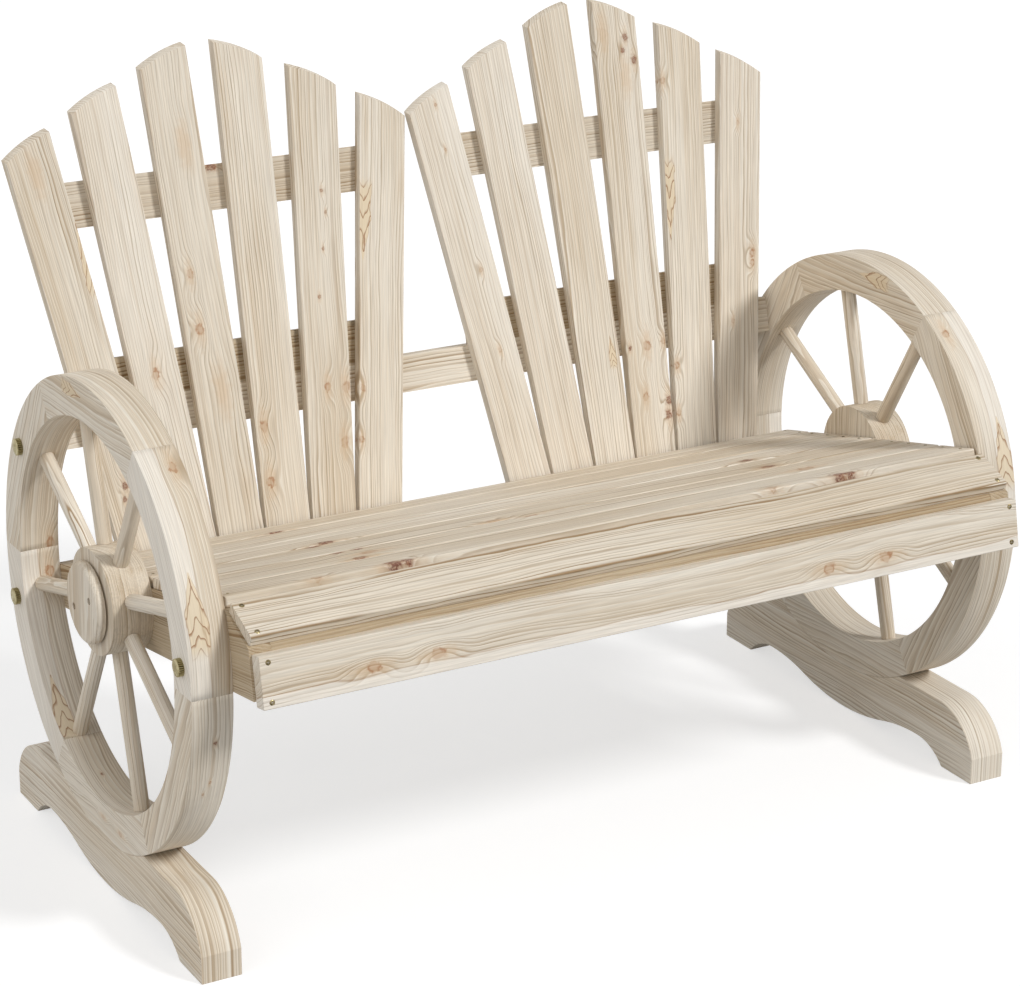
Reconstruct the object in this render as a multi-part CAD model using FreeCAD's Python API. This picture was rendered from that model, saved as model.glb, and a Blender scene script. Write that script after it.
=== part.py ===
import FreeCAD, Part
import math
import os

# Wagon wheel bench, in millimetres. X runs along the bench, Y towards its back, Z up.
# Pieces are drawn round the wheels' centre line (Y = 0) on the floor (Z = 0). At the end
# the bench is moved so that the origin is the bottom centre of its bounding box.
# Angles are in degrees. In the side view they turn from straight up towards the back.

# Wheels
wheel_radius = 300.0
rim_depth = 50.0
wheel_width = 53.0
wheel_spacing = 1084.0
wheel_seat_height = 65.0
felloe_count = 6
felloe_first_joint = 30.0
hub_radius = 68.0
hub_rise = 19.0
spoke_count = 8
spoke_first_angle = 15.0
spoke_diameter = 20.0
spoke_tenon = 12.0
hub_mortise_depth = 22.0
rim_mortise_depth = 15.0
tenon_clearance = 0.2

# Hub caps
cap_radius = 52.0
cap_thick = 12.0
cap_edge_bevel = 4.0
cap_boss_radius = 44.0
cap_standoff = 2.5

# Feet
foot_length = 604.0
foot_top_height = 95.0
foot_end_height = 36.0
foot_shoulder_radius = 83.0
foot_pad_length = 66.0
foot_arch_height = 25.4
foot_arch_offset = 179.0
foot_belly_clearance = 1.0
wheel_seat_clearance = 0.3

# Side rails
rail_thick = 28.0
rail_break_inset = 18.0
rail_break_rise = 98.3
rail_nose_length = 69.0
rail_front_depth = 62.0
rail_tail_inset = 8.0
rail_tail_top_round_share = 0.7
rail_tail_bottom_round_share = 0.2
seat_slope = 13.2
nose_slope = 22.7
front_lean = 10.5
rail_bottom_slope = 9.0

# Seat boards, nose board and apron
board_thick = 14.0
board_gap = 4.0
board_count = 5
board_setback = 1.6
board_end_clearance = 3.0
rear_board_width = 57.0
nose_board_width = 60.0
nose_board_setback = 5.0
apron_height = 63.0
apron_thick = 20.0
apron_drop = 6.5

# Cross rails under the seat
front_rail_thick = 22.0
front_rail_depth = 52.0
rear_rail_thick = 22.0
rear_rail_depth = 42.0

# Fanned back
back_recline = 15.3
back_inset = 140.4
back_clearance = 6.7
fan_middle_gap = 7.8
fan_pivot_depth = 1130.0
fan_step = 3.45
slat_pairs = 3
slat_thick = 15.0
slat_bottom_width = 63.4
slat_top_width = 67.2
slat_tail = 60.0
slat_reach = 624.8
slat_reach_step = 38.0
slat_top_slant = 24.6
slat_top_crown = 3.3
slat_end_bevel = 22.0
fan_rail_length = 451.0
fan_rail_thick = 20.0
lower_rail_height = 57.0
upper_rail_height = 60.0
upper_rail_drop = 143.8
beam_height = 50.0
beam_depth = 40.0

# Bolts
bolt_diameter = 8.0
bolt_head_diameter = 22.0
bolt_head_height = 6.0
bolt_hole_clearance = 0.3
rail_bolt_level_share = 0.37
beam_bolt_rise = 13.0
beam_bolt_setback = 15.0
beam_bolt_grip = 60.0

# Two corners closer than this are the same corner
corner_match = 0.01

# Sizes that follow from the ones above
wheel_inner = wheel_spacing / 2
wheel_outer = wheel_inner + wheel_width
wheel_middle = (wheel_inner + wheel_outer) / 2
rim_inner_radius = wheel_radius - rim_depth
bolt_circle_radius = (wheel_radius + rim_inner_radius) / 2
rail_inner = wheel_inner - rail_thick
rail_rear_reach = wheel_radius - rail_tail_inset
wheel_centre = FreeCAD.Vector(0, 0, wheel_seat_height + wheel_radius)
hub_centre = wheel_centre + FreeCAD.Vector(0, 0, hub_rise)
along_x = FreeCAD.Vector(1, 0, 0)


def heading(angle):
    """Unit vector in the side view."""
    turn = math.radians(angle)
    return FreeCAD.Vector(0, math.sin(turn), math.cos(turn))


def carry_along_x(wire, x_start, x_end):
    """Solid of a closed side-view outline between two X positions."""
    face = Part.Face(wire)
    face.translate(FreeCAD.Vector(x_start, 0, 0))
    return face.extrude(FreeCAD.Vector(x_end - x_start, 0, 0))


def straight_plate(corners, x_start, x_end):
    """Solid of a straight-sided side-view outline."""
    return carry_along_x(Part.makePolygon(corners + corners[:1]), x_start, x_end)


def rod_along_x(radius, centre, x_start, x_end):
    """Round bar along X about a side-view centre."""
    base = FreeCAD.Vector(x_start, centre.y, centre.z)
    return Part.makeCylinder(radius, x_end - x_start, base, along_x)


def bevel_rim_edge(disc, x_edge, width):
    """Bevel the circular edge of a disc at one X position."""
    edges = []
    for edge in disc.Edges:
        off_plane = max(abs(edge.BoundBox.XMin - x_edge), abs(edge.BoundBox.XMax - x_edge))
        if off_plane < corner_match:
            edges.append(edge)
    return disc.makeChamfer(width, edges)


def mirrored(shape):
    """The same piece at the bench's left end."""
    return shape.mirror(FreeCAD.Vector(0, 0, 0), along_x)


# Seat and back reference lines, in the side view
seat_back = heading(90 + seat_slope)
seat_up = heading(seat_slope)
nose_front = heading(270 - nose_slope)
nose_up = heading(-nose_slope)
front_down = heading(180 + front_lean)
front_out = heading(270 + front_lean)
back_up = heading(back_recline)
back_rear = heading(90 + back_recline)

rail_break = FreeCAD.Vector(0, rail_break_inset - wheel_radius, wheel_centre.z + rail_break_rise)
rail_front_top = rail_break + nose_front * rail_nose_length
rail_front_bottom = rail_front_top + front_down * rail_front_depth

# The seat line is where the seat's top meets the slats' front. The boards share out the run up to it.
seat_line_run = (wheel_radius - back_inset - rail_break.y - seat_up.y * board_thick) / seat_back.y
seat_line = rail_break + seat_back * seat_line_run + seat_up * board_thick
board_run = seat_line_run - back_clearance - rear_board_width - board_setback
board_width = board_run / board_count - board_gap


def rail_top_height(y):
    """Height of the side rails' top edge, on which the boards lie."""
    return rail_break.z - (y - rail_break.y) * math.tan(math.radians(seat_slope))


def rail_bottom_height(y):
    """Height of the side rails' bottom edge."""
    return rail_front_bottom.z - (y - rail_front_bottom.y) * math.tan(math.radians(rail_bottom_slope))


def rim_crossing(start, direction, side):
    """Where a side-view line crosses the bolt circle: side 1 is along its direction, -1 the other way."""
    offset = start - wheel_centre
    along = offset.dot(direction)
    reach = math.sqrt(bolt_circle_radius ** 2 - offset.dot(offset) + along ** 2)
    return start + direction * (side * reach - along)


def rail_bolt_level(y):
    """Height of the line in the side rail on which its bolts sit."""
    bottom = rail_bottom_height(y)
    return bottom + rail_bolt_level_share * (rail_top_height(y) - bottom)


# Bolt centres: each lies on the rim's middle circle and inside the piece it holds
rail_bolt_line_start = FreeCAD.Vector(0, 0, rail_bolt_level(0))
rail_bolt_line = FreeCAD.Vector(0, rail_rear_reach, rail_bolt_level(rail_rear_reach)) - rail_bolt_line_start
rail_bolt_line.normalize()
front_bolt = rim_crossing(rail_bolt_line_start, rail_bolt_line, -1)
rear_bolt = rim_crossing(rail_bolt_line_start, rail_bolt_line, 1)
beam_bolt = rim_crossing(seat_line + back_rear * (slat_thick + beam_bolt_setback), back_up, 1)
beam_level = (beam_bolt - seat_line).dot(back_up) - beam_bolt_rise
bolt_radius = bolt_diameter / 2
bolt_hole_radius = bolt_radius + bolt_hole_clearance
beam_bolt_end = wheel_inner - beam_bolt_grip


# Feet: a sawn board with two pads, two arches and a belly, hollowed on top for the wheel
def foot():
    half = foot_length / 2
    seat_radius = wheel_radius + wheel_seat_clearance
    seat_half = math.sqrt(seat_radius ** 2 - (wheel_centre.z - foot_top_height) ** 2)
    shoulder_level = foot_top_height - foot_shoulder_radius
    shoulder_rise = foot_end_height - shoulder_level
    shoulder_y = half - math.sqrt(foot_shoulder_radius ** 2 - shoulder_rise ** 2)
    shoulder_turn = math.degrees(math.acos(shoulder_rise / foot_shoulder_radius)) / 2
    pad_inner = half - foot_pad_length

    # Outer side of each arch: a circle through the pad's inner corner with its top at the arch's crown
    pad_run = pad_inner - foot_arch_offset
    end_radius = (pad_run ** 2 + foot_arch_height ** 2) / (2 * foot_arch_height)
    end_turn = math.degrees(math.asin(pad_run / end_radius)) / 2

    # Inner side of each arch: a circle with its top at the crown that touches the belly's circle
    belly_radius = wheel_centre.z - foot_belly_clearance
    crown_drop = wheel_centre.z - foot_arch_height
    crown_reach = foot_arch_offset ** 2 + crown_drop ** 2
    inner_radius = (crown_reach - belly_radius ** 2) / (2 * (belly_radius - crown_drop))
    belly_turn = math.degrees(math.atan2(foot_arch_offset, crown_drop + inner_radius))

    def at(side, y, z):
        return FreeCAD.Vector(0, side * y, z)

    def on_circle(side, centre_y, centre_z, radius, angle):
        arm = heading(angle) * radius
        return at(side, centre_y + arm.y, centre_z + arm.z)

    def half_outline(side):
        pad_corner = at(side, pad_inner, 0)
        crown = at(side, foot_arch_offset, foot_arch_height)
        belly_join = on_circle(side, 0, wheel_centre.z, belly_radius, 180 - belly_turn)
        end_level = foot_arch_height - end_radius
        end_middle = on_circle(side, foot_arch_offset, end_level, end_radius, end_turn)
        inner_level = foot_arch_height - inner_radius
        inner_middle = on_circle(side, foot_arch_offset, inner_level, inner_radius, -belly_turn / 2)
        end_bottom = at(side, half, 0)
        end_top = at(side, half, foot_end_height)
        shoulder_middle = on_circle(side, shoulder_y, shoulder_level, foot_shoulder_radius, shoulder_turn)
        shoulder_top = at(side, shoulder_y, foot_top_height)
        seat_edge = at(side, seat_half, foot_top_height)
        edges = [
            Part.Arc(belly_join, inner_middle, crown).toShape(),
            Part.Arc(crown, end_middle, pad_corner).toShape(),
            Part.makeLine(pad_corner, end_bottom),
            Part.makeLine(end_bottom, end_top),
            Part.Arc(end_top, shoulder_middle, shoulder_top).toShape(),
            Part.makeLine(shoulder_top, seat_edge),
        ]
        return edges, belly_join, seat_edge

    front_edges, front_belly, front_seat = half_outline(-1)
    rear_edges, rear_belly, rear_seat = half_outline(1)
    belly = Part.Arc(front_belly, at(1, 0, foot_belly_clearance), rear_belly).toShape()
    hollow = Part.Arc(front_seat, at(1, 0, wheel_centre.z - seat_radius), rear_seat).toShape()
    edges = Part.sortEdges(front_edges + rear_edges + [belly, hollow])[0]
    return carry_along_x(Part.Wire(edges), wheel_inner, wheel_outer)


# Spokes: round bars coped to the hub and the rim, with square tenons in mortises at both ends
spoke_angles = [spoke_first_angle + index * 360 / spoke_count for index in range(spoke_count)]


def rim_reach(angle):
    """Distance from the hub's centre to the inside of the rim along a spoke."""
    turn = math.radians(angle)
    sideways = hub_rise * math.sin(turn)
    return math.sqrt(rim_inner_radius ** 2 - sideways ** 2) - hub_rise * math.cos(turn)


def square_bar(angle, width):
    """Square bar along a spoke, from the bottom of its hub mortise to that of its rim mortise."""
    start = hub_radius - hub_mortise_depth
    length = rim_reach(angle) + rim_mortise_depth - start
    bar = Part.makeBox(width, width, length, FreeCAD.Vector(-width / 2, -width / 2, start))
    bar.rotate(FreeCAD.Vector(0, 0, 0), along_x, -angle)
    bar.translate(hub_centre + along_x * wheel_middle)
    return bar


def spoke(angle):
    base = hub_centre + along_x * wheel_middle
    round_bar = Part.makeCylinder(spoke_diameter / 2, wheel_radius, base, heading(angle))
    inside_rim = rod_along_x(rim_inner_radius - tenon_clearance, wheel_centre, wheel_inner, wheel_outer)
    hub_space = rod_along_x(hub_radius + tenon_clearance, hub_centre, wheel_inner, wheel_outer)
    return round_bar.common(inside_rim).cut(hub_space).fuse(square_bar(angle, spoke_tenon)).removeSplitter()


mortises = [square_bar(angle, spoke_tenon + 2 * tenon_clearance) for angle in spoke_angles]


# Felloes: the curved segments of the rim, with mortises for spokes and holes for bolts
def felloe(index):
    sweep = 360 / felloe_count
    start = felloe_first_joint + index * sweep

    def on_rim(radius, share):
        return wheel_centre + heading(start + share * sweep) * radius

    def arc(radius):
        return Part.Arc(on_rim(radius, 0), on_rim(radius, 1 / 2), on_rim(radius, 1)).toShape()

    outline = Part.Wire([
        arc(wheel_radius),
        Part.makeLine(on_rim(wheel_radius, 1), on_rim(rim_inner_radius, 1)),
        arc(rim_inner_radius),
        Part.makeLine(on_rim(rim_inner_radius, 0), on_rim(wheel_radius, 0)),
    ])
    segment = carry_along_x(outline, wheel_inner, wheel_outer)
    holes = [rod_along_x(bolt_hole_radius, bolt, wheel_inner, wheel_outer)
             for bolt in (front_bolt, rear_bolt, beam_bolt)]
    return segment.cut(mortises + holes).Solids[0]


# Hub: a round block a little above the middle of the rim
def hub():
    return rod_along_x(hub_radius, hub_centre, wheel_inner, wheel_outer).cut(mortises).Solids[0]


# Hub cap: a disc with an eased edge on a low boss, which leaves a shadow gap at the hub
def hub_cap():
    disc_start = wheel_outer + cap_standoff
    disc_end = disc_start + cap_thick
    disc = rod_along_x(cap_radius, hub_centre, disc_start, disc_end)
    disc = bevel_rim_edge(disc, disc_end, cap_edge_bevel)
    boss = rod_along_x(cap_boss_radius, hub_centre, wheel_outer, disc_start)
    return disc.fuse(boss).removeSplitter()


# Bolts: a round head on the wheel's outer face and a plain shank
def bolt(centre, shank_end):
    head = rod_along_x(bolt_head_diameter / 2, centre, wheel_outer, wheel_outer + bolt_head_height)
    shank = rod_along_x(bolt_radius, centre, shank_end, wheel_outer)
    return head.fuse(shank).removeSplitter()


# Side rail: a tapered board with a sloped nose, a leaning front end and a rounded tail
def side_rail():
    tail_top = FreeCAD.Vector(0, rail_rear_reach, rail_top_height(rail_rear_reach))
    tail_bottom = FreeCAD.Vector(0, rail_rear_reach, rail_bottom_height(rail_rear_reach))
    corners = [rail_front_top, rail_break, tail_top, tail_bottom, rail_front_bottom]
    board = straight_plate(corners, rail_inner, wheel_inner)
    tail_height = tail_top.z - tail_bottom.z
    rounds = ((tail_top, rail_tail_top_round_share), (tail_bottom, rail_tail_bottom_round_share))
    for corner, share in rounds:
        edges = []
        for edge in board.Edges:
            middle = edge.CenterOfMass
            if math.hypot(middle.y - corner.y, middle.z - corner.z) < corner_match:
                edges.append(edge)
        board = board.makeFillet(share * tail_height, edges)
    holes = [rod_along_x(bolt_hole_radius, centre, rail_inner, wheel_inner)
             for centre in (front_bolt, rear_bolt)]
    return board.cut(holes)


# Seat boards: straight boards across the two side rails, from the front to the back
board_half_length = wheel_inner - board_end_clearance


def seat_board(index):
    width = board_width if index < board_count else rear_board_width
    front = rail_break + seat_back * (board_setback + index * (board_width + board_gap))
    rear = front + seat_back * width
    lift = seat_up * board_thick
    return straight_plate([front, rear, rear + lift, front + lift], -board_half_length, board_half_length)


def nose_board():
    rear = rail_break + nose_front * nose_board_setback
    front = rear + nose_front * nose_board_width
    lift = nose_up * board_thick
    return straight_plate([rear, front, front + lift, rear + lift], -board_half_length, board_half_length)


# Apron: a leaning board on the front ends of the side rails
def apron():
    top = rail_front_top + front_down * apron_drop
    bottom = top + front_down * apron_height
    out = front_out * apron_thick
    return straight_plate([top, bottom, bottom + out, top + out], -board_half_length, board_half_length)


# Cross rails between the side rails, bevelled on top to lie under the nose board and the rear board
def front_rail():
    slope_run = front_rail_thick / math.cos(math.radians(nose_slope + front_lean))
    top_rear = rail_front_top - nose_front * slope_run
    front_bottom = rail_front_top + front_down * front_rail_depth
    rear_bottom = front_bottom - front_out * front_rail_thick
    return straight_plate([rail_front_top, top_rear, rear_bottom, front_bottom], -rail_inner, rail_inner)


def rear_rail():
    tilt = math.cos(math.radians(back_recline - seat_slope))
    top_rear = seat_line - back_up * (board_thick / tilt)
    top_front = top_rear - seat_back * (rear_rail_thick / tilt)
    rear_bottom = top_rear - back_up * rear_rail_depth
    front_bottom = rear_bottom - back_rear * rear_rail_thick
    return straight_plate([top_rear, top_front, front_bottom, rear_bottom], -rail_inner, rail_inner)


# Back slats: boards fanned about a point below the floor, each top cut on a slant with a slight crown.
# They are drawn upright and facing the front, with Z from the seat line, and then leaned back. Both ends
# are sawn with the blade tilted, so that they rise from the slat's front to its back.
back_lean = FreeCAD.Placement(seat_line, FreeCAD.Rotation(along_x, -back_recline))
slat_count = 2 * slat_pairs
slat_end_rise = slat_thick * math.tan(math.radians(slat_end_bevel))

# The two fans stand so far apart that the outer corners of their inmost slats leave the middle gap
outer_top = slat_reach - (slat_pairs - 1) * slat_reach_step
outer_turn = math.radians((slat_pairs - 1 / 2) * fan_step)
outer_corner_reach = fan_pivot_depth + outer_top - slat_top_slant / 2
fan_half_width = outer_corner_reach * math.sin(outer_turn) + slat_top_width / 2 * math.cos(outer_turn)
fan_offset = fan_half_width + fan_middle_gap / 2


def leaned(shape):
    shape.Placement = back_lean.multiply(shape.Placement)
    return shape


def slat(fan_x, index):
    from_middle = index - (slat_count - 1) / 2
    rank = abs(from_middle) - 1 / 2
    inner_side = -1 if from_middle > 0 else 1
    half_bottom = slat_bottom_width / 2
    half_top = inner_side * slat_top_width / 2
    half_slant = slat_top_slant / 2
    top = slat_reach - rank * slat_reach_step
    high = FreeCAD.Vector(half_top, 0, top + half_slant)
    low = FreeCAD.Vector(-half_top, 0, top - half_slant)
    across = (high - low).normalize()
    crown = (high + low) / 2 + FreeCAD.Vector(-across.z, 0, across.x) * inner_side * slat_top_crown
    bottom_high = FreeCAD.Vector(inner_side * half_bottom, 0, -slat_tail)
    bottom_low = FreeCAD.Vector(-inner_side * half_bottom, 0, -slat_tail)
    outline = Part.Wire([
        Part.makeLine(bottom_low, bottom_high),
        Part.makeLine(bottom_high, high),
        Part.Arc(high, crown, low).toShape(),
        Part.makeLine(low, bottom_low),
    ])
    board = Part.Face(outline).extrude(FreeCAD.Vector(0, slat_thick, slat_end_rise))
    board.translate(FreeCAD.Vector(fan_x, 0, 0))
    pivot = FreeCAD.Vector(fan_x, 0, -fan_pivot_depth)
    board.rotate(pivot, FreeCAD.Vector(0, 1, 0), from_middle * fan_step)
    return leaned(board)


# Rails behind the slats: one upper and one lower rail to each fan, and a beam from wheel to wheel
upper_rail_level = slat_reach - upper_rail_drop - upper_rail_height


def back_bar(x_middle, length, level, height, thick):
    corner = FreeCAD.Vector(x_middle - length / 2, slat_thick, level)
    return leaned(Part.makeBox(length, thick, height, corner))


def cross_beam():
    bar = back_bar(0, wheel_spacing, beam_level, beam_height, beam_depth)
    right_hole = rod_along_x(bolt_hole_radius, beam_bolt, beam_bolt_end, wheel_inner)
    return bar.cut([right_hole, mirrored(right_hole)])


# All pieces by name: left is the end at -X, seen from the front
pieces = {}
right_end = {
    "foot": foot(),
    "hub": hub(),
    "spokes": Part.makeCompound([spoke(angle) for angle in spoke_angles]),
    "side_rail": side_rail(),
    "wheel_bolts": Part.makeCompound([
        bolt(front_bolt, rail_inner),
        bolt(rear_bolt, rail_inner),
        bolt(beam_bolt, beam_bolt_end),
    ]),
}
for index in range(felloe_count):
    right_end[f"felloe_{index + 1}"] = felloe(index)
for name, shape in right_end.items():
    pieces[f"right_{name}"] = shape
    pieces[f"left_{name}"] = mirrored(shape)

right_cap = hub_cap()
pieces["hub_caps"] = Part.makeCompound([right_cap, mirrored(right_cap)])

for index in range(board_count + 1):
    pieces[f"seat_board_{index + 1}"] = seat_board(index)
pieces["nose_board"] = nose_board()
pieces["apron"] = apron()
pieces["front_cross_rail"] = front_rail()
pieces["rear_cross_rail"] = rear_rail()
pieces["cross_beam"] = cross_beam()

for side, fan_x in (("left", -fan_offset), ("right", fan_offset)):
    for index in range(slat_count):
        pieces[f"{side}_slat_{index + 1}"] = slat(fan_x, index)
    pieces[f"{side}_lower_rail"] = back_bar(
        fan_x, fan_rail_length, beam_level + beam_height, lower_rail_height, fan_rail_thick)
    pieces[f"{side}_upper_rail"] = back_bar(
        fan_x, fan_rail_length, upper_rail_level, upper_rail_height, fan_rail_thick)

# The origin goes to the bottom centre of the whole bench
bounds = FreeCAD.BoundBox()
for shape in pieces.values():
    bounds.add(shape.optimalBoundingBox(False, False))
to_origin = FreeCAD.Vector(-bounds.Center.x, -bounds.Center.y, -bounds.ZMin)

os.makedirs("parts", exist_ok=True)
for name, shape in pieces.items():
    shape.translate(to_origin)
    shape.exportStep(f"parts/{name}.step")
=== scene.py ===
import math

import bmesh
import bpy
from mathutils import Matrix, Vector


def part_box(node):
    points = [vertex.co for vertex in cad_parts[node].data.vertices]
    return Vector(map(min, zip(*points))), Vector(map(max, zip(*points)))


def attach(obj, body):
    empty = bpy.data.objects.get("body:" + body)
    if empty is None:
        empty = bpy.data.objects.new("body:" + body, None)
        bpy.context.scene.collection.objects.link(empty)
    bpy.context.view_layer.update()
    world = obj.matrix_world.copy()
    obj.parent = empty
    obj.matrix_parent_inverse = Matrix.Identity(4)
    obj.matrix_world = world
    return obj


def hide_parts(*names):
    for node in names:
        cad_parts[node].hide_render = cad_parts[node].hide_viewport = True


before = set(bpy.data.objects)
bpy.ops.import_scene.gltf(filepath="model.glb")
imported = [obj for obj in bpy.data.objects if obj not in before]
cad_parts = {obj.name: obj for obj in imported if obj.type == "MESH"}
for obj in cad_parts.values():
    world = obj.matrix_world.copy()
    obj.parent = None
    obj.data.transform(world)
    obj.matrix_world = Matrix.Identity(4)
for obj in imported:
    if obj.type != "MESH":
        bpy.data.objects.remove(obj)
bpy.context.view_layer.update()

# Feet. Each foot is one thick pine board, sawn to a long S curve at both ends and sanded. Its grain runs
# along its length, and the wheel is glued into the hollow on its top. The whole bench is of this pale,
# unpainted pine, so its grain, its knots and its eased edges are first set up here.
foot_edge_round = 0.0012
foot_grain = {"heart": (0.0, 0.16, 0.17), "ring": 0.0036, "lines": 0.85, "wave": 0.7}
along_bench = Vector((1, 0, 0))
to_the_back = Vector((0, 1, 0))


def linear(red, green, blue):
    """The shader's colour for red, green and blue from 0 to 255 as they show on a screen."""
    def level(shown):
        return shown / 12.92 if shown <= 0.04045 else ((shown + 0.055) / 1.055) ** 2.4

    return [level(value / 255) for value in (red, green, blue)] + [1.0]


def put(tree, kind, feeds, **settings):
    """Adds a node, and links its inputs to other nodes or sets them to plain values."""
    node = tree.nodes.new(kind)
    for name, value in settings.items():
        setattr(node, name, value)
    for key, value in feeds.items():
        if isinstance(value, bpy.types.NodeSocket):
            tree.links.new(value, node.inputs[key])
        else:
            node.inputs[key].default_value = value
    return node


def work_out(tree, operation, *values):
    return put(tree, "ShaderNodeMath", dict(enumerate(values)), operation=operation).outputs[0]


def times(tree, first, second):
    return work_out(tree, "MULTIPLY", first, second)


def times_plus(tree, first, second, third):
    return work_out(tree, "MULTIPLY_ADD", first, second, third)


def distance(tree, first, second):
    """How far a point is from the origin, by its two coordinates."""
    return work_out(tree, "SQRT", times_plus(tree, first, first, times(tree, second, second)))


def vector_work(tree, operation, *values):
    return put(tree, "ShaderNodeVectorMath", dict(enumerate(values)), operation=operation).outputs[0]


def split(tree, place):
    return put(tree, "ShaderNodeSeparateXYZ", {0: place}).outputs


def join(tree, *values):
    return put(tree, "ShaderNodeCombineXYZ", dict(enumerate(values))).outputs[0]


def cloudy(tree, place, stretch, seed, detail):
    """Soft noise from -0.5 to 0.5 whose scale differs along, across and through the board."""
    moved = vector_work(tree, "MULTIPLY_ADD", place, stretch, seed)
    noise = put(tree, "ShaderNodeTexNoise", {"Vector": moved, "Scale": 1.0, "Detail": detail}).outputs[0]
    return work_out(tree, "SUBTRACT", noise, 0.5)


def ease(tree, value, low, high, bottom=0.0, top=1.0):
    """A smooth step from bottom to top as value goes from low to high."""
    feeds = {"Value": value, "From Min": low, "From Max": high, "To Min": bottom, "To Max": top}
    return put(tree, "ShaderNodeMapRange", feeds, interpolation_type="SMOOTHSTEP").outputs[0]


def fade(tree, value, low, high):
    """A smooth step down from one to zero as value goes from low to high."""
    return ease(tree, value, low, high, 1.0, 0.0)


def tint(tree, amount, first, second):
    """A mix of two colours, all of the second where amount is one."""
    return put(tree, "ShaderNodeMix", {0: amount, 6: first, 7: second}, data_type="RGBA").outputs[2]


def new_group(name, inputs, outputs):
    """An empty shader group. Inputs and outputs give the labels of its sockets by their kind."""
    tree = bpy.data.node_groups.new(name, "ShaderNodeTree")
    for way, sockets in (("INPUT", inputs), ("OUTPUT", outputs)):
        for kind, labels in sockets.items():
            for label in labels:
                tree.interface.new_socket(name=label, in_out=way, socket_type="NodeSocket" + kind)
    return tree, tree.nodes.new("NodeGroupInput").outputs, tree.nodes.new("NodeGroupOutput").inputs


def use_group(tree, group, feeds):
    return put(tree, "ShaderNodeGroup", feeds, node_tree=group).outputs


# The figure of the wood: how often each unevenness comes back in a metre, along, across and through the
# board, and how far it moves the rings. A ring goes from early to late wood as its phase goes from 0 to 1.
sway_waves = (2.2, 9.0, 9.0)
roll_waves = (2.6, 10.0, 10.0)
ripple_waves = (13.0, 75.0, 75.0)
fading_waves = (3.4, 34.0, 34.0)
tone_waves = (1.9, 15.0, 15.0)
streak_waves = (3.0, 95.0, 95.0)
stain_waves = (5.5, 34.0, 34.0)
fibre_waves = (18.0, 760.0, 760.0)
sway_size = 0.040
roll_size = 0.036
ripple_size = 0.0040
season_rate = 0.37
season_size = 2.2
faintest_year = 0.35
early_wood_ends = 0.40
early_wood_share = 0.75
late_wood_begins = 0.50
late_wood_full = 0.86
late_wood_ends = 0.90
other_seed_step = 31.7
season_seed_step = 3.1
year_seed_step = 17.3
wood_roughness = 0.66
late_wood_gloss = 0.14
fibre_relief = 0.6
sap_share = 0.9
sap_line_loss = 0.6
pale_wood = linear(229, 220, 205)
warm_wood = linear(215, 201, 180)
streak_brown = linear(199, 180, 153)
early_wood = linear(233, 226, 213)
stain_brown = linear(205, 180, 149)
sapwood = linear(240, 234, 224)
late_wood = linear(160, 134, 101)
# How far honey darkens each channel: the warmer tone of older boards, and painted shade on pieces that sit
# in shade
honey_share = (0.60, 0.52, 0.40)

# How strongly each mark in the wood tints it, and with which colour, from the lowest layer to the highest
marks = {
    "Glow": (0.7, linear(222, 203, 170)),
    "Flame": (0.85, linear(150, 104, 66)),
    "Halo": (0.45, linear(206, 176, 140)),
    "Core": (0.9, linear(164, 114, 74)),
    "Red": (0.9, linear(106, 56, 43)),
}


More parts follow.
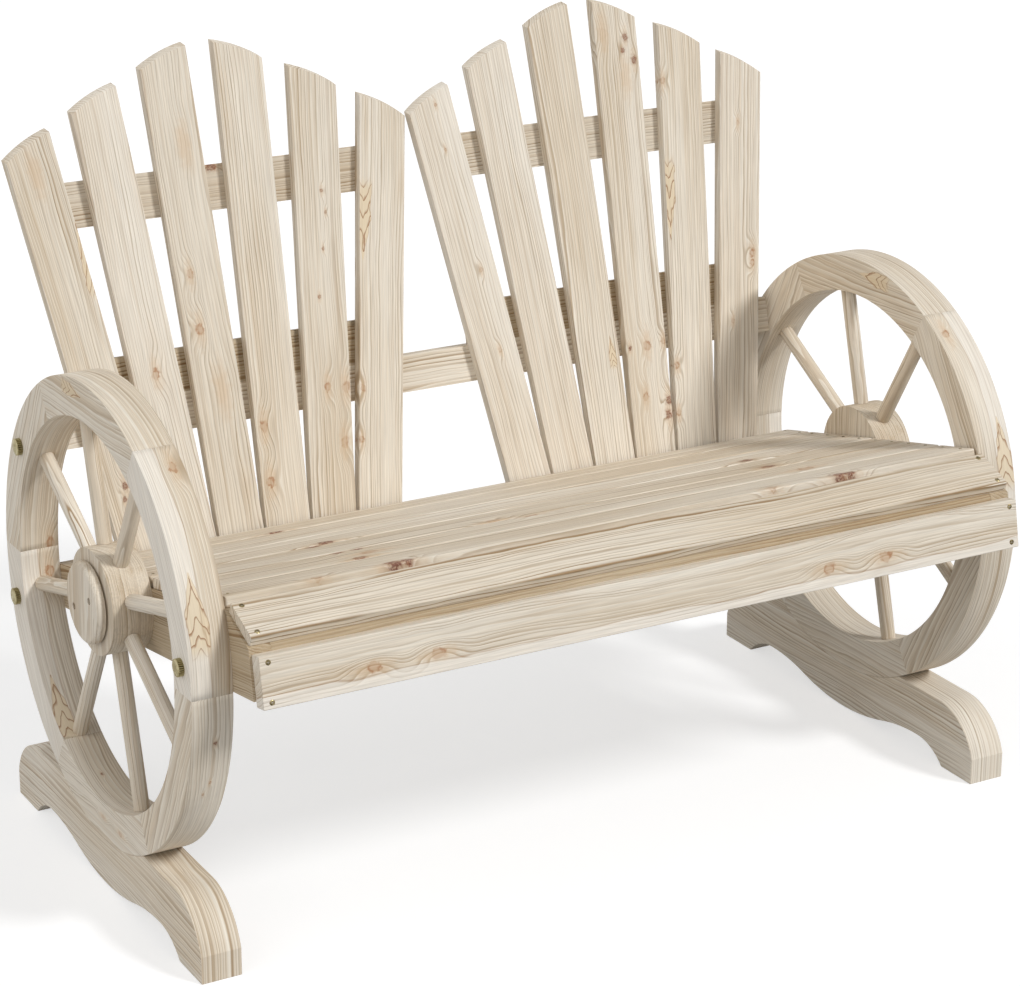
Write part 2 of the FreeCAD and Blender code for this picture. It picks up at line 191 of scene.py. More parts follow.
def make_pine_grain():
    """Growth rings round the heart of the log, cut by the faces of the board."""
    tree, given, result = new_group(
        "pine_grain",
        {"Vector": ("Vector", "Heart"),
         "Float": ("Ring Width", "Seed", "Wave", "Lines", "Honey And Shade", "Sap", "Pull", *marks)},
        {"Color": ("Color",), "Float": ("Roughness", "Height")})
    place = given["Vector"]
    seed = given["Seed"]
    other_seed = work_out(tree, "ADD", seed, other_seed_step)
    board = split(tree, place)
    heart = split(tree, given["Heart"])
    sway = times(tree, cloudy(tree, place, sway_waves, seed, 1.0), given["Wave"])
    roll = times(tree, cloudy(tree, place, roll_waves, other_seed, 1.0), given["Wave"])
    side = times_plus(tree, sway, sway_size, work_out(tree, "SUBTRACT", board[1], heart[1]))
    lean = times(tree, board[0], heart[0])
    depth = work_out(tree, "ADD", lean, work_out(tree, "SUBTRACT", board[2], heart[2]))
    depth = times_plus(tree, roll, roll_size, depth)
    reach = work_out(tree, "ADD", distance(tree, side, depth), given["Pull"])
    ripple = cloudy(tree, place, ripple_waves, other_seed, 2.0)
    reach = times_plus(tree, ripple, ripple_size, reach)

    ring = work_out(tree, "DIVIDE", reach, given["Ring Width"])
    season = times_plus(tree, ring, season_rate, times(tree, seed, season_seed_step))
    feeds = {"W": season, "Scale": 1.0, "Detail": 1.0}
    uneven = put(tree, "ShaderNodeTexNoise", feeds, noise_dimensions="1D").outputs[0]
    ring = times_plus(tree, uneven, season_size, ring)
    phase = work_out(tree, "FRACT", ring)
    count = times_plus(tree, seed, year_seed_step, work_out(tree, "FLOOR", ring))
    year = put(tree, "ShaderNodeTexWhiteNoise", {"W": count}, noise_dimensions="1D").outputs[0]
    strength = times_plus(tree, year, 1 - faintest_year, faintest_year)
    rise = ease(tree, phase, late_wood_begins, late_wood_full)
    late = times(tree, rise, fade(tree, phase, late_wood_ends, 1.0))
    fading = ease(tree, cloudy(tree, place, fading_waves, other_seed, 2.0), -0.2, 0.14, 0.25, 1.0)
    fading = times(tree, fading, times_plus(tree, given["Sap"], -sap_line_loss, 1.0))
    line = times(tree, times(tree, late, strength), fading)
    shade = times(tree, line, given["Lines"])
    early = ease(tree, phase, 0.0, early_wood_ends, early_wood_share, 0.0)

    tone = ease(tree, cloudy(tree, place, tone_waves, seed, 2.0), -0.15, 0.15)
    streak = ease(tree, cloudy(tree, place, streak_waves, seed, 2.0), 0.02, 0.26, 0.0, 0.65)
    stain = ease(tree, cloudy(tree, place, stain_waves, other_seed, 2.0), 0.1, 0.32, 0.0, 0.35)
    sap_amount = times(tree, given["Sap"], sap_share)
    wood = tint(tree, tone, pale_wood, warm_wood)
    layers = ((streak, streak_brown), (early, early_wood), (stain, stain_brown), (sap_amount, sapwood),
              (shade, late_wood))
    for amount, colour in layers:
        wood = tint(tree, amount, wood, colour)
    # Honey darkens and warms the wood. On most boards it is their own older, warmer tone. On the side rails,
    # the cross rails and the lower fan rails it is painted shade, and on the hubs it is partly painted
    # shade.
    aged_and_shaded = vector_work(tree, "MULTIPLY", wood, honey_share)
    wood = tint(tree, given["Honey And Shade"], wood, aged_and_shaded)
    fibre = cloudy(tree, place, fibre_waves, seed, 2.0)
    bright = ease(tree, fibre, -0.3, 0.3, 0.88, 1.09)
    wood = put(tree, "ShaderNodeVectorMath", {0: wood, "Scale": bright}, operation="SCALE").outputs[0]
    for label, (share, colour) in marks.items():
        wood = tint(tree, times(tree, given[label], share), wood, colour)
    tree.links.new(wood, result["Color"])
    tree.links.new(times_plus(tree, line, -late_wood_gloss, wood_roughness), result["Roughness"])
    relief = times_plus(tree, fibre, fibre_relief, times(tree, line, -1.0))
    tree.links.new(relief, result["Height"])
    return tree


# Knots, each stretched along the grain
knot_stretch = 1.3
halo_stretch = 3.2
pull_stretch = 2.2
knot_raggedness = 1.6
knot_seed_steps = (97.0, 131.0, 61.0)


def make_pine_knot():
    """One branch knot: a core, dark red and mottled if dead, a halo, and a pull that bends the rings
    round it."""
    tree, given, result = new_group(
        "pine_knot",
        {"Vector": ("Vector", "Place"), "Float": ("Radius", "Dark")},
        {"Float": ("Pull", "Halo", "Core", "Red")})
    away = vector_work(tree, "SUBTRACT", given["Vector"], given["Place"])
    own_place = vector_work(tree, "DIVIDE", away, given["Radius"])
    own_seed = vector_work(tree, "MULTIPLY", given["Place"], knot_seed_steps)

    def own_noise(scale, detail):
        return cloudy(tree, own_place, (scale, scale, scale), own_seed, detail)

    def share(stretch):
        """Distance from the middle as a share of the radius, with the knot stretched along the grain."""
        flat = vector_work(tree, "MULTIPLY", away, (1 / stretch, 1.0, 0.0))
        length = put(tree, "ShaderNodeVectorMath", {0: flat}, operation="LENGTH").outputs["Value"]
        return work_out(tree, "DIVIDE", length, given["Radius"])

    rough = own_noise(0.9, 2.0)
    patchy = own_noise(0.6, 1.0)
    near = times_plus(tree, rough, knot_raggedness, share(knot_stretch))
    outline = times(tree, ease(tree, near, 0.35, 0.85), ease(tree, patchy, -0.12, 0.1))
    whole = fade(tree, near, 0.7, 1.2)
    core = times(tree, times_plus(tree, outline, 0.7, 0.3), whole)
    warm = times_plus(tree, rough, knot_raggedness, share(halo_stretch))
    mottle = ease(tree, own_noise(2.6, 2.0), -0.14, 0.12, 0.35, 1.0)
    blush = ease(tree, near, 0.9, 1.9, 0.24, 0.0)
    dead = work_out(tree, "MAXIMUM", times(tree, whole, mottle), blush)
    bend = fade(tree, share(pull_stretch), 0.0, 3.6)
    bend = times(tree, bend, ease(tree, given["Dark"], 0.03, 0.3, 0.3, 1.8))
    tree.links.new(times(tree, core, ease(tree, given["Dark"], 0.1, 0.5)), result["Core"])
    tree.links.new(times(tree, dead, ease(tree, given["Dark"], 0.55, 0.9)), result["Red"])
    tree.links.new(fade(tree, warm, 0.3, 1.9), result["Halo"])
    tree.links.new(times(tree, bend, given["Radius"]), result["Pull"])
    return tree


# Flames, of nested lines with ragged edges
flame_waves = (60.0, 150.0, 0.0)
flame_seed = (5.0, 5.0, 5.0)
flame_rows = 4.2
flame_slant = 1.1
flame_edge_jag = 0.7
flame_row_jag = 0.8


def make_pine_flame():
    """Nested points of late wood, where a face cuts the rings at a shallow slant. Place is the tip.
    Size is the length, with its sign as the way it widens, and half of its width at the broad end."""
    tree, given, result = new_group(
        "pine_flame",
        {"Vector": ("Vector", "Place", "Size")},
        {"Float": ("Flame", "Glow")})
    away = vector_work(tree, "SUBTRACT", given["Vector"], given["Place"])
    part = split(tree, vector_work(tree, "DIVIDE", away, given["Size"]))
    jag = cloudy(tree, given["Vector"], flame_waves, flame_seed, 0.5)
    side = work_out(tree, "ABSOLUTE", part[1])
    spread = work_out(tree, "DIVIDE", side, ease(tree, part[0], -0.08, 0.6, 0.02, 1.0))
    spread = times_plus(tree, jag, flame_edge_jag, spread)
    ends = times(tree, ease(tree, part[0], 0.0, 0.03), fade(tree, part[0], 0.8, 1.0))
    within = times(tree, fade(tree, spread, 0.9, 1.0), ends)
    closing = times(tree, times(tree, part[0], part[0]), flame_rows)
    nested = times_plus(tree, side, -flame_slant, closing)
    nested = work_out(tree, "FRACT", times_plus(tree, jag, flame_row_jag, nested))
    line = fade(tree, nested, 0.02, 0.28)
    edge = work_out(tree, "MAXIMUM", ease(tree, spread, 0.84, 0.96), line)
    tree.links.new(times(tree, edge, within), result["Flame"])
    tree.links.new(within, result["Glow"])
    return tree


pine_grain = make_pine_grain()
pine_knot = make_pine_knot()
pine_flame = make_pine_flame()


def facing(tree, direction):
    """One where the surface looks along the direction or against it, zero where it looks sideways."""
    normal = tree.nodes.new("ShaderNodeNewGeometry").outputs["Normal"]
    feeds = {0: normal, 1: direction}
    dot = put(tree, "ShaderNodeVectorMath", feeds, operation="DOT_PRODUCT").outputs["Value"]
    return ease(tree, work_out(tree, "ABSOLUTE", dot), 0.3, 0.9)


def new_material(name):
    """A new material, its node tree, its shader's inputs and the place on the piece."""
    material = bpy.data.materials.new(name)
    material.use_nodes = True
    tree = material.node_tree
    place = tree.nodes.new("ShaderNodeTexCoord").outputs["Object"]
    return material, tree, tree.nodes["Principled BSDF"].inputs, place


def link_looks(tree, inputs, looks, strength, height):
    """Links the colour, roughness and relief of a group to the shader. Height is that of the relief."""
    tree.links.new(looks["Color"], inputs["Base Color"])
    tree.links.new(looks["Roughness"], inputs["Roughness"])
    feeds = {"Height": looks["Height"], "Strength": strength, "Distance": height}
    tree.links.new(put(tree, "ShaderNodeBump", feeds).outputs[0], inputs["Normal"])


# White sapwood, with a thin brown line where it begins
sap_waves = (9.0, 60.0, 60.0)
sap_wander = 0.016
sap_blend = 0.002
sap_line_width = 0.0012
sap_line_share = 0.5


def pine(name, origin, along, normal, seed, heart, ring, lines=1.0, wave=1.0, honey=0.0,
         knots=(), flames=(), edge_knots=(), edge_flames=(), sap=None, bend=None):
    """The material of one pine board. Its grain runs along, and normal points out of its broad face.
    Heart is the lean, side and depth of the log's centre line. A knot is (along, across, radius, darkness),
    and a flame is (along and across of its tip, length, half width). Those of the edge lie along and
    through the board. Sap is the axis that white sapwood begins on, 1 across or 2 through the board, the
    way it lies, where it begins and how white it is. Bend moves the places at which the grain is read."""
    material, tree, inputs, place = new_material(name)
    across = Vector(normal).cross(Vector(along))
    turn = Matrix((along, across, normal)).transposed().to_euler()
    feeds = {"Vector": place, "Location": origin, "Rotation": turn}
    place = put(tree, "ShaderNodeMapping", feeds, vector_type="TEXTURE").outputs[0]
    if bend:
        place = bend(tree, place)
    part = split(tree, place)
    edge_place = join(tree, part[0], part[2], part[1])
    feeds = {"Vector": place, "Heart": heart, "Ring Width": ring, "Seed": seed, "Wave": wave, "Lines": lines,
             "Honey And Shade": honey}
    found = {label: [] for label in ("Pull", *marks)}
    for plane, spots in ((place, knots), (edge_place, edge_knots)):
        for u, v, radius, dark in spots:
            spot = {"Vector": plane, "Place": (u, v, 0.0), "Radius": radius, "Dark": dark}
            knot = use_group(tree, pine_knot, spot)
            for label in ("Pull", "Halo", "Core", "Red"):
                found[label].append(knot[label])
    on_face = facing(tree, normal)
    on_edge = work_out(tree, "SUBTRACT", 1.0, on_face)
    for plane, shown, spots in ((place, on_face, flames), (edge_place, on_edge, edge_flames)):
        for u, v, length, half_width in spots:
            spot = {"Vector": plane, "Place": (u, v, 0.0), "Size": (length, half_width, 1.0)}
            flame = use_group(tree, pine_flame, spot)
            for label in ("Flame", "Glow"):
                found[label].append(times(tree, flame[label], shown))
    if sap:
        axis, way, begins, amount = sap
        wander = cloudy(tree, place, sap_waves, (seed, seed, seed), 2.0)
        reach = times_plus(tree, wander, sap_wander, times(tree, part[axis], way))
        feeds["Sap"] = ease(tree, reach, begins, begins + sap_blend, 0.0, amount)
        low_side = ease(tree, reach, begins - sap_line_width, begins, 0.0, sap_line_share * amount)
        high_side = fade(tree, reach, begins, begins + sap_line_width)
        found["Flame"].append(times(tree, low_side, high_side))
    for label, values in found.items():
        total = values[0] if values else 0.0
        for value in values[1:]:
            total = work_out(tree, "ADD" if label == "Pull" else "MAXIMUM", total, value)
        feeds[label] = total
    link_looks(tree, inputs, use_group(tree, pine_grain, feeds), strength=0.3, height=0.0005)
    inputs["Specular IOR Level"].default_value = 0.3
    return material


weld_distance = 1e-5
sharp_angle = 0.6
edge_segments = 2


def dress(node_name, edge_round, origin, along, normal, seed, **grain):
    """Gives a CAD node its own pine, and eases its sharp edges as sandpaper does."""
    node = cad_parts[node_name]
    node.material_slots[0].material = pine(f"{node_name}_pine", origin, along, normal, seed, **grain)
    weld = node.modifiers.new("joined_faces", "WELD")
    weld.merge_threshold = weld_distance
    bevel = node.modifiers.new("eased_edges", "BEVEL")
    bevel.width = edge_round
    bevel.segments = edge_segments
    bevel.limit_method = "ANGLE"
    bevel.angle_limit = sharp_angle
    bevel.harden_normals = True


def middle_of(node_name):
    low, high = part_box(node_name)
    return (low + high) / 2


def follow_foot(tree, place):
    """Lets the lines on top of the foot run over its shoulder and down its end."""
    part = split(tree, place)
    across = times(tree, part[1], facing(tree, along_bench))
    return join(tree, part[0], across, part[2])


for name, seed in (("left_foot", 1.0), ("right_foot", 2.0)):
    dress(name, foot_edge_round, middle_of(name), to_the_back, along_bench, seed, bend=follow_foot,
          **foot_grain)

# Wheel rims. Each rim is six felloes, sawn from straight pine boards and glued end to end on radial joints,
# so the grain runs straight along each felloe and turns at every joint. The edges are eased.
felloe_count = 6
rim_edge_round = 0.0005
rim_seed_step = 0.37
rim_grain = {"ring": 0.0036, "lines": 0.75, "wave": 0.45, "honey": 0.07}
wheel_middle_x = 0.5685
wheel_centre_z = 0.365
wheel_centre_y = middle_of("left_hub").y
felloe_hearts = ((0.02, 0.40, 0.16), (0.03, 0.20, -0.15), (-0.02, 0.36, -0.14))
rim_knots = {
    "left_felloe_3": ((0.004, 0.2717, 0.0035, 0.3), (0.060, 0.2714, 0.0035, 0.3)),
}
rim_flames = {
    "left_felloe_6": ((0.008, 0.2800, 0.070, 0.010),),
    "right_felloe_6": ((-0.002, 0.2820, -0.072, 0.011),),
}
tread_knots = {
    "left_felloe_1": ((0.119, 0.0145, 0.006, 0.5),),
    "left_felloe_2": ((-0.095, 0.0116, 0.006, 0.5),),
    "left_felloe_3": ((-0.058, -0.0015, 0.0018, 0.8),),
    "left_felloe_4": ((0.094, 0.0045, 0.0020, 0.9), (0.035, 0.004, 0.0018, 0.6),
                      (0.016, -0.002, 0.0018, 0.6)),
    "left_felloe_5": ((0.121, 0.0125, 0.0055, 0.5),),
    "right_felloe_5": ((0.118, -0.0110, 0.0055, 0.5),),
}
tread_flames = {
    "left_felloe_2": ((0.035, -0.0140, 0.105, 0.013),),
    "left_felloe_5": ((-0.005, -0.0100, -0.105, 0.014),),
    "right_felloe_5": ((-0.005, 0.0140, -0.105, 0.013),),
}
felloes_with_sap = (2, 5)
rim_sap_begins = 0.002
rim_sap_white = 0.75


def follow_rim(tree, place):
    """Lets the lines on the tread follow the rim, while those on its faces stay straight."""
    part = split(tree, place)
    radius = distance(tree, part[0], part[1])
    gap = work_out(tree, "SUBTRACT", part[1], radius)
    across = times_plus(tree, facing(tree, along_bench), gap, radius)
    return join(tree, part[0], across, part[2])


for side, sign, first_seed in (("left", -1, 3.0), ("right", 1, 4.0)):
    wheel_centre = (sign * wheel_middle_x, wheel_centre_y, wheel_centre_z)
    outer_sap = (2, sign, rim_sap_begins, rim_sap_white)
    for number in range(1, felloe_count + 1):
        name = f"{side}_felloe_{number}"
        angle = number * math.tau / felloe_count
        along = (0, math.cos(angle), -math.sin(angle))
        dress(name, rim_edge_round, wheel_centre, along, along_bench, first_seed + rim_seed_step * number,
              heart=felloe_hearts[number % len(felloe_hearts)],
              knots=rim_knots.get(name, ()), flames=rim_flames.get(name, ()),
              edge_knots=tread_knots.get(name, ()), edge_flames=tread_flames.get(name, ()),
              sap=outer_sap if number in felloes_with_sap else None, bend=follow_rim, **rim_grain)

# Hubs and caps. A hub is a turned pine block with its grain upright, mortised all round for the spokes.
# A thin pine disc with a turned edge covers its outer end, held off it by a boss and fixed by two screws.
hub_centre_z = 0.384
hub_edge_round = 0.0018
# The hubs' honey is partly their own warmer tone and partly painted shade, for the shade on the hubs' sides
# between the spokes and under the caps.
hub_grain = {"heart": (0.0, 0.05, -0.12), "ring": 0.0046, "lines": 0.8, "honey": 0.35}
cap_grain = {"heart": (0.0, 0.09, 0.02), "ring": 0.0048, "lines": 0.8, "honey": 0.15}
cap_seed = 7.7
upright = Vector((0, 0, 1))
cap_radius = 0.052
cap_boss_radius = 0.044
cap_standoff = 0.0025
cap_thick = 0.0119
cap_bevel = 0.004
cap_edge_round = 0.0012
cap_edge_segments = 3
cap_sides = 96
cap_screw_place = (-0.0120, 0.0255)
screw_hole_radius = 0.0046
screw_hole_depth = 0.0085
screw_hole_sides = 24
wheel_outer_x = 0.595
smooth_limit = math.radians(35)


def raised(bm, face, rise):
    """Draws a face up or down with walls behind it, and gives back the face at the far end."""
    drawn = bmesh.ops.extrude_face_region(bm, geom=[face, *face.edges])["geom"]
    far = next(item for item in drawn if isinstance(item, bmesh.types.BMFace))
    bmesh.ops.translate(bm, vec=(0, 0, rise), verts=far.verts)
    return far


def widened(bm, face, share):
    """Scales a face about the Z axis."""
    bmesh.ops.scale(bm, vec=(share, share, 1.0), verts=face.verts)


def disc(bm, sides, radius, low):
    """A flat face of many sides at the height low, round the Z axis."""
    ring = bmesh.ops.create_circle(bm, cap_ends=True, segments=sides, radius=radius)["verts"]
    bmesh.ops.translate(bm, vec=(0, 0, low), verts=ring)
    return ring[0].link_faces[0]


def ease_sharp_edges(bm, limit, offset, segments):
    """Rounds the edges whose faces meet at more than the limit."""
    sharp = [edge for edge in bm.edges if edge.calc_face_angle() > limit]
    bmesh.ops.bevel(bm, geom=sharp, offset=offset, affect="EDGES", segments=segments, profile=0.5,
                    material=-1)


def mesh_from(bm, name):
    """Turns a finished bmesh into a mesh with outward faces."""
    bmesh.ops.recalc_face_normals(bm, faces=bm.faces)
    mesh = bpy.data.meshes.new(name)
    bm.to_mesh(mesh)
    bm.free()
    for polygon in mesh.polygons:
        polygon.use_smooth = True
    mesh.set_sharp_from_angle(angle=smooth_limit)
    return mesh


def add_object(name, data):
    """A new object at the origin of the scene."""
    thing = bpy.data.objects.new(name, data)
    bpy.context.scene.collection.objects.link(thing)
    return thing


def set_out(name, pattern, places, material, size_share=1.0):
    """Copies of a pattern as one piece. Each place is a point on a face and the way that the face looks."""
    bm = bmesh.new()
    for point, looks in places:
        before = len(bm.verts)
        bm.from_mesh(pattern)
        bm.verts.ensure_lookup_table()
        turn = upright.rotation_difference(Vector(looks)).to_matrix().to_4x4()
        shift = Matrix.Translation(point) @ turn @ Matrix.Scale(size_share, 4)
        bmesh.ops.transform(bm, matrix=shift, verts=bm.verts[before:])
    mesh = bpy.data.meshes.new(name)
    bm.to_mesh(mesh)
    bm.free()
    mesh.materials.append(material)
    piece = add_object(name, mesh)
    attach(piece, "root")
    return piece


def cap_mesh():
    """A disc on a low boss, turned with an eased edge, with two holes in its face for the screws."""
    bm = bmesh.new()
    boss = raised(bm, disc(bm, cap_sides, cap_boss_radius, 0.0), cap_standoff)
    brim = raised(bm, boss, 0.0)
    widened(bm, brim, cap_radius / cap_boss_radius)
    wall = raised(bm, brim, cap_thick - cap_bevel)
    front = raised(bm, wall, cap_bevel)
    widened(bm, front, 1 - cap_bevel / cap_radius)
    ease_sharp_edges(bm, smooth_limit, cap_edge_round, cap_edge_segments)
    front = max(bm.faces, key=lambda face: face.calc_center_median().z)
    outline = list(front.edges)
    bmesh.ops.delete(bm, geom=[front], context="FACES_ONLY")
    hole_edges = []
    for way in (-1, 1):
        ring = bmesh.ops.create_circle(bm, segments=screw_hole_sides, radius=screw_hole_radius)["verts"]
        shift = (way * cap_screw_place[0], way * cap_screw_place[1], cap_standoff + cap_thick)
        bmesh.ops.translate(bm, vec=shift, verts=ring)
        hole_edges += dict.fromkeys(edge for vert in ring for edge in vert.link_edges)
    bmesh.ops.triangle_fill(bm, use_beauty=True, edges=outline + hole_edges)
    drawn = bmesh.ops.extrude_edge_only(bm, edges=hole_edges)["geom"]
    low_verts = [item for item in drawn if isinstance(item, bmesh.types.BMVert)]
    bmesh.ops.translate(bm, vec=(0, 0, -screw_hole_depth), verts=low_verts)
    low_edges = [item for item in drawn if isinstance(item, bmesh.types.BMEdge)]
    bmesh.ops.edgenet_fill(bm, edges=[edge for edge in low_edges if edge.is_boundary])
    return mesh_from(bm, "cap_pattern")


for side, sign, seed in (("left", -1, 5.1), ("right", 1, 6.3)):
    hub_centre = (sign * wheel_middle_x, wheel_centre_y, hub_centre_z)
    dress(f"{side}_hub", hub_edge_round, hub_centre, upright, along_bench, seed, **hub_grain)
cap_middle = (0.0, wheel_centre_y, hub_centre_z)
cap_pine = pine("hub_cap_pine", cap_middle, upright, along_bench, cap_seed, **cap_grain)
cap_places = [((sign * wheel_outer_x, wheel_centre_y, hub_centre_z), (sign, 0, 0)) for sign in (-1, 1)]
turned_caps = set_out("turned_hub_caps", cap_mesh(), cap_places, cap_pine)
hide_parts("hub_caps")

# Spokes. Eight round pine dowels to a wheel, their square ends driven into the hub and the rim. The grain
# of each runs along it, so its lines are read in a frame that turns with the spoke.
spoke_first_angle = math.radians(15)
spoke_step = math.radians(45)
spoke_edge_round = 0.0006
spoke_shift = 0.83
spoke_grain = {"heart": (0.0, 0.06, 0.05), "ring": 0.0030, "lines": 1.1, "wave": 0.5}


def follow_spoke(tree, place):
    """Turns the place so that it runs out along the nearest spoke, each on its own stretch of the log."""
    part = split(tree, place)
    angle = work_out(tree, "ARCTAN2", part[0], part[1])
    turns = work_out(tree, "DIVIDE", work_out(tree, "SUBTRACT", angle, spoke_first_angle), spoke_step)
    number = work_out(tree, "ROUND", turns)
    nearest = times_plus(tree, number, spoke_step, spoke_first_angle)
    off = work_out(tree, "SUBTRACT", angle, nearest)
    radius = distance(tree, part[0], part[1])
    along = times(tree, radius, work_out(tree, "COSINE", off))
    along = times_plus(tree, number, spoke_shift, along)
    across = times(tree, radius, work_out(tree, "SINE", off))
    return join(tree, along, across, part[2])


for side, sign, seed in (("left", -1, 8.4), ("right", 1, 9.6)):
    hub_centre = (sign * wheel_middle_x, wheel_centre_y, hub_centre_z)
    dress(f"{side}_spokes", spoke_edge_round, hub_centre, to_the_back, along_bench, seed, bend=follow_spoke,
          **spoke_grain)

# Side rails. A pine board inside each wheel, bolted through the rim at front and rear, carries the seat.
# Its top follows the seat and the nose board, and its grain runs from front to back.
rail_slope = math.radians(11)
board_edge_round = 0.0012
rail_middle_x = 0.528
rail_middle_z = 0.37
# The side rails' strong honey is painted shade: it darkens them as the wheel beside each rail shades it.
side_rail_grain = {"heart": (0.01, 0.12, 0.05), "ring": 0.0040, "lines": 1.1, "honey": 0.85}
for side, sign, seed in (("left", -1, 10.2), ("right", 1, 11.4)):
    rail_middle = (sign * rail_middle_x, 0.0, rail_middle_z)
    along = (0, math.cos(rail_slope), -math.sin(rail_slope))
    dress(f"{side}_side_rail", board_edge_round, rail_middle, along, along_bench, seed, **side_rail_grain)

# Cross rails under the seat. Two pine battens, sawn to length and butted between the side rails, one behind
# the apron and one below the back of the seat. Their grain runs along the bench.
front_lean = math.radians(10.5)
back_recline = math.radians(15.3)
front_normal = Vector((0, -math.cos(front_lean), math.sin(front_lean)))
back_normal = Vector((0, -math.cos(back_recline), math.sin(back_recline)))
# The cross rails' strong honey is painted shade, for the shadow that the nose board casts on the front one.
# The rear one shares it.
cross_rail_grain = {"heart": (0.002, 0.15, -0.14), "ring": 0.0034, "wave": 0.4, "honey": 0.9}
for name, normal, seed in (("front_cross_rail", front_normal, 12.3), ("rear_cross_rail", back_normal, 13.1)):
    dress(name, board_edge_round, middle_of(name), along_bench, normal, seed, **cross_rail_grain)

# Seat. Six flat pine boards on the side rails, a nose board that falls to the front, and an apron that
# hangs before the rails' ends. All have their grain along the bench and two screws at each end.
seat_slope = math.radians(13.2)
nose_slope = math.radians(22.7)
seat_normal = Vector((0, math.sin(seat_slope), math.cos(seat_slope)))
nose_normal = Vector((0, -math.sin(nose_slope), math.cos(nose_slope)))
seat_board_count = 6
seat_edge_round = 0.0030
seat_first_seed = 14.0
seat_seed_step = 0.61
seat_grain = {"ring": 0.0085, "lines": 0.9}
seat_hearts = ((0.006, 0.09, -0.05), (-0.008, -0.11, -0.04), (0.005, 0.14, 0.06), (-0.006, -0.08, -0.06))
seat_honey = (0.0, 0.10, 0.04, 0.14)
seat_knots = {
    1: ((-0.318, -0.0310, 0.008, 0.95), (-0.300, -0.0310, 0.006, 0.95), (0.325, -0.0310, 0.008, 0.95),
        (0.340, -0.0320, 0.006, 0.9), (-0.419, -0.0299, 0.006, 0.4), (0.222, -0.0301, 0.006, 0.4)),
    2: ((-0.325, -0.0310, 0.007, 0.75), (-0.326, 0.0310, 0.006, 0.85), (-0.300, 0.0320, 0.006, 0.9),
        (-0.299, -0.0045, 0.009, 0.6), (0.333, -0.0185, 0.010, 0.6), (-0.053, 0.0310, 0.007, 0.6)),
    3: ((-0.324, 0.0310, 0.007, 0.95), (0.321, -0.0262, 0.008, 0.95), (-0.101, -0.0310, 0.007, 0.5)),
    4: ((-0.299, -0.0310, 0.008, 0.95), (0.338, -0.0233, 0.008, 0.95)),
    6: ((-0.301, -0.0302, 0.008, 0.95),),
}
nose_seed = 21.2
nose_grain = {"heart": (0.002, 0.14, -0.12), "ring": 0.0036, "lines": 1.2, "wave": 0.4, "honey": 0.2}
apron_seed = 22.9
apron_grain = {"heart": (0.004, 0.10, -0.055), "ring": 0.0042, "lines": 0.75, "honey": 0.12}
apron_sap = (1, -1, 0.017, 0.9)
apron_knots = ((-0.397, -0.0084, 0.007, 0.5), (-0.312, -0.0074, 0.007, 0.5), (0.243, -0.0072, 0.007, 0.5),
               (0.329, -0.0074, 0.007, 0.5))
for number in range(1, seat_board_count + 1):
    name = f"seat_board_{number}"
    seed = seat_first_seed + seat_seed_step * number
    dress(name, seat_edge_round, middle_of(name), along_bench, seat_normal, seed,
          heart=seat_hearts[number % len(seat_hearts)], honey=seat_honey[number % len(seat_honey)],
          knots=seat_knots.get(number, ()), **seat_grain)
dress("nose_board", board_edge_round, middle_of("nose_board"), along_bench, nose_normal, nose_seed,
      **nose_grain)
dress("apron", board_edge_round, middle_of("apron"), along_bench, front_normal, apron_seed,
      knots=apron_knots, sap=apron_sap, **apron_grain)

# Back. A beam between the wheels carries two fans of six slats, each held by a lower rail on the beam and
# an upper rail. All are pine, screwed from behind, and the slats' grain runs along each slat.
fan_offset = 0.287
fan_pivot_depth = 1.130
fan_step = math.radians(3.45)
back_base_behind_wheel = 0.1596
back_base_height = 0.3741
back_base = Vector((0, wheel_centre_y + back_base_behind_wheel, back_base_height))
back_up = Vector((0, math.sin(back_recline), math.cos(back_recline)))
beam_seed = 23.7
beam_grain = {"heart": (0.005, 0.09, -0.06), "ring": 0.0046, "lines": 1.2}
fan_rail_grain = {"heart": (0.006, 0.12, -0.06), "ring": 0.0042, "lines": 1.3, "wave": 0.6}

# The level of a fan's rail, the step in its seed and its honey. The lower rails' strong honey is painted
# shade, for the shade in the narrow gaps between the slats.
rail_levels = (("lower", 0.0, 0.9), ("upper", 0.9, 0.25))
rail_knots = {"left_upper_rail": ((-0.001, 0.0270, 0.006, 0.8),)}

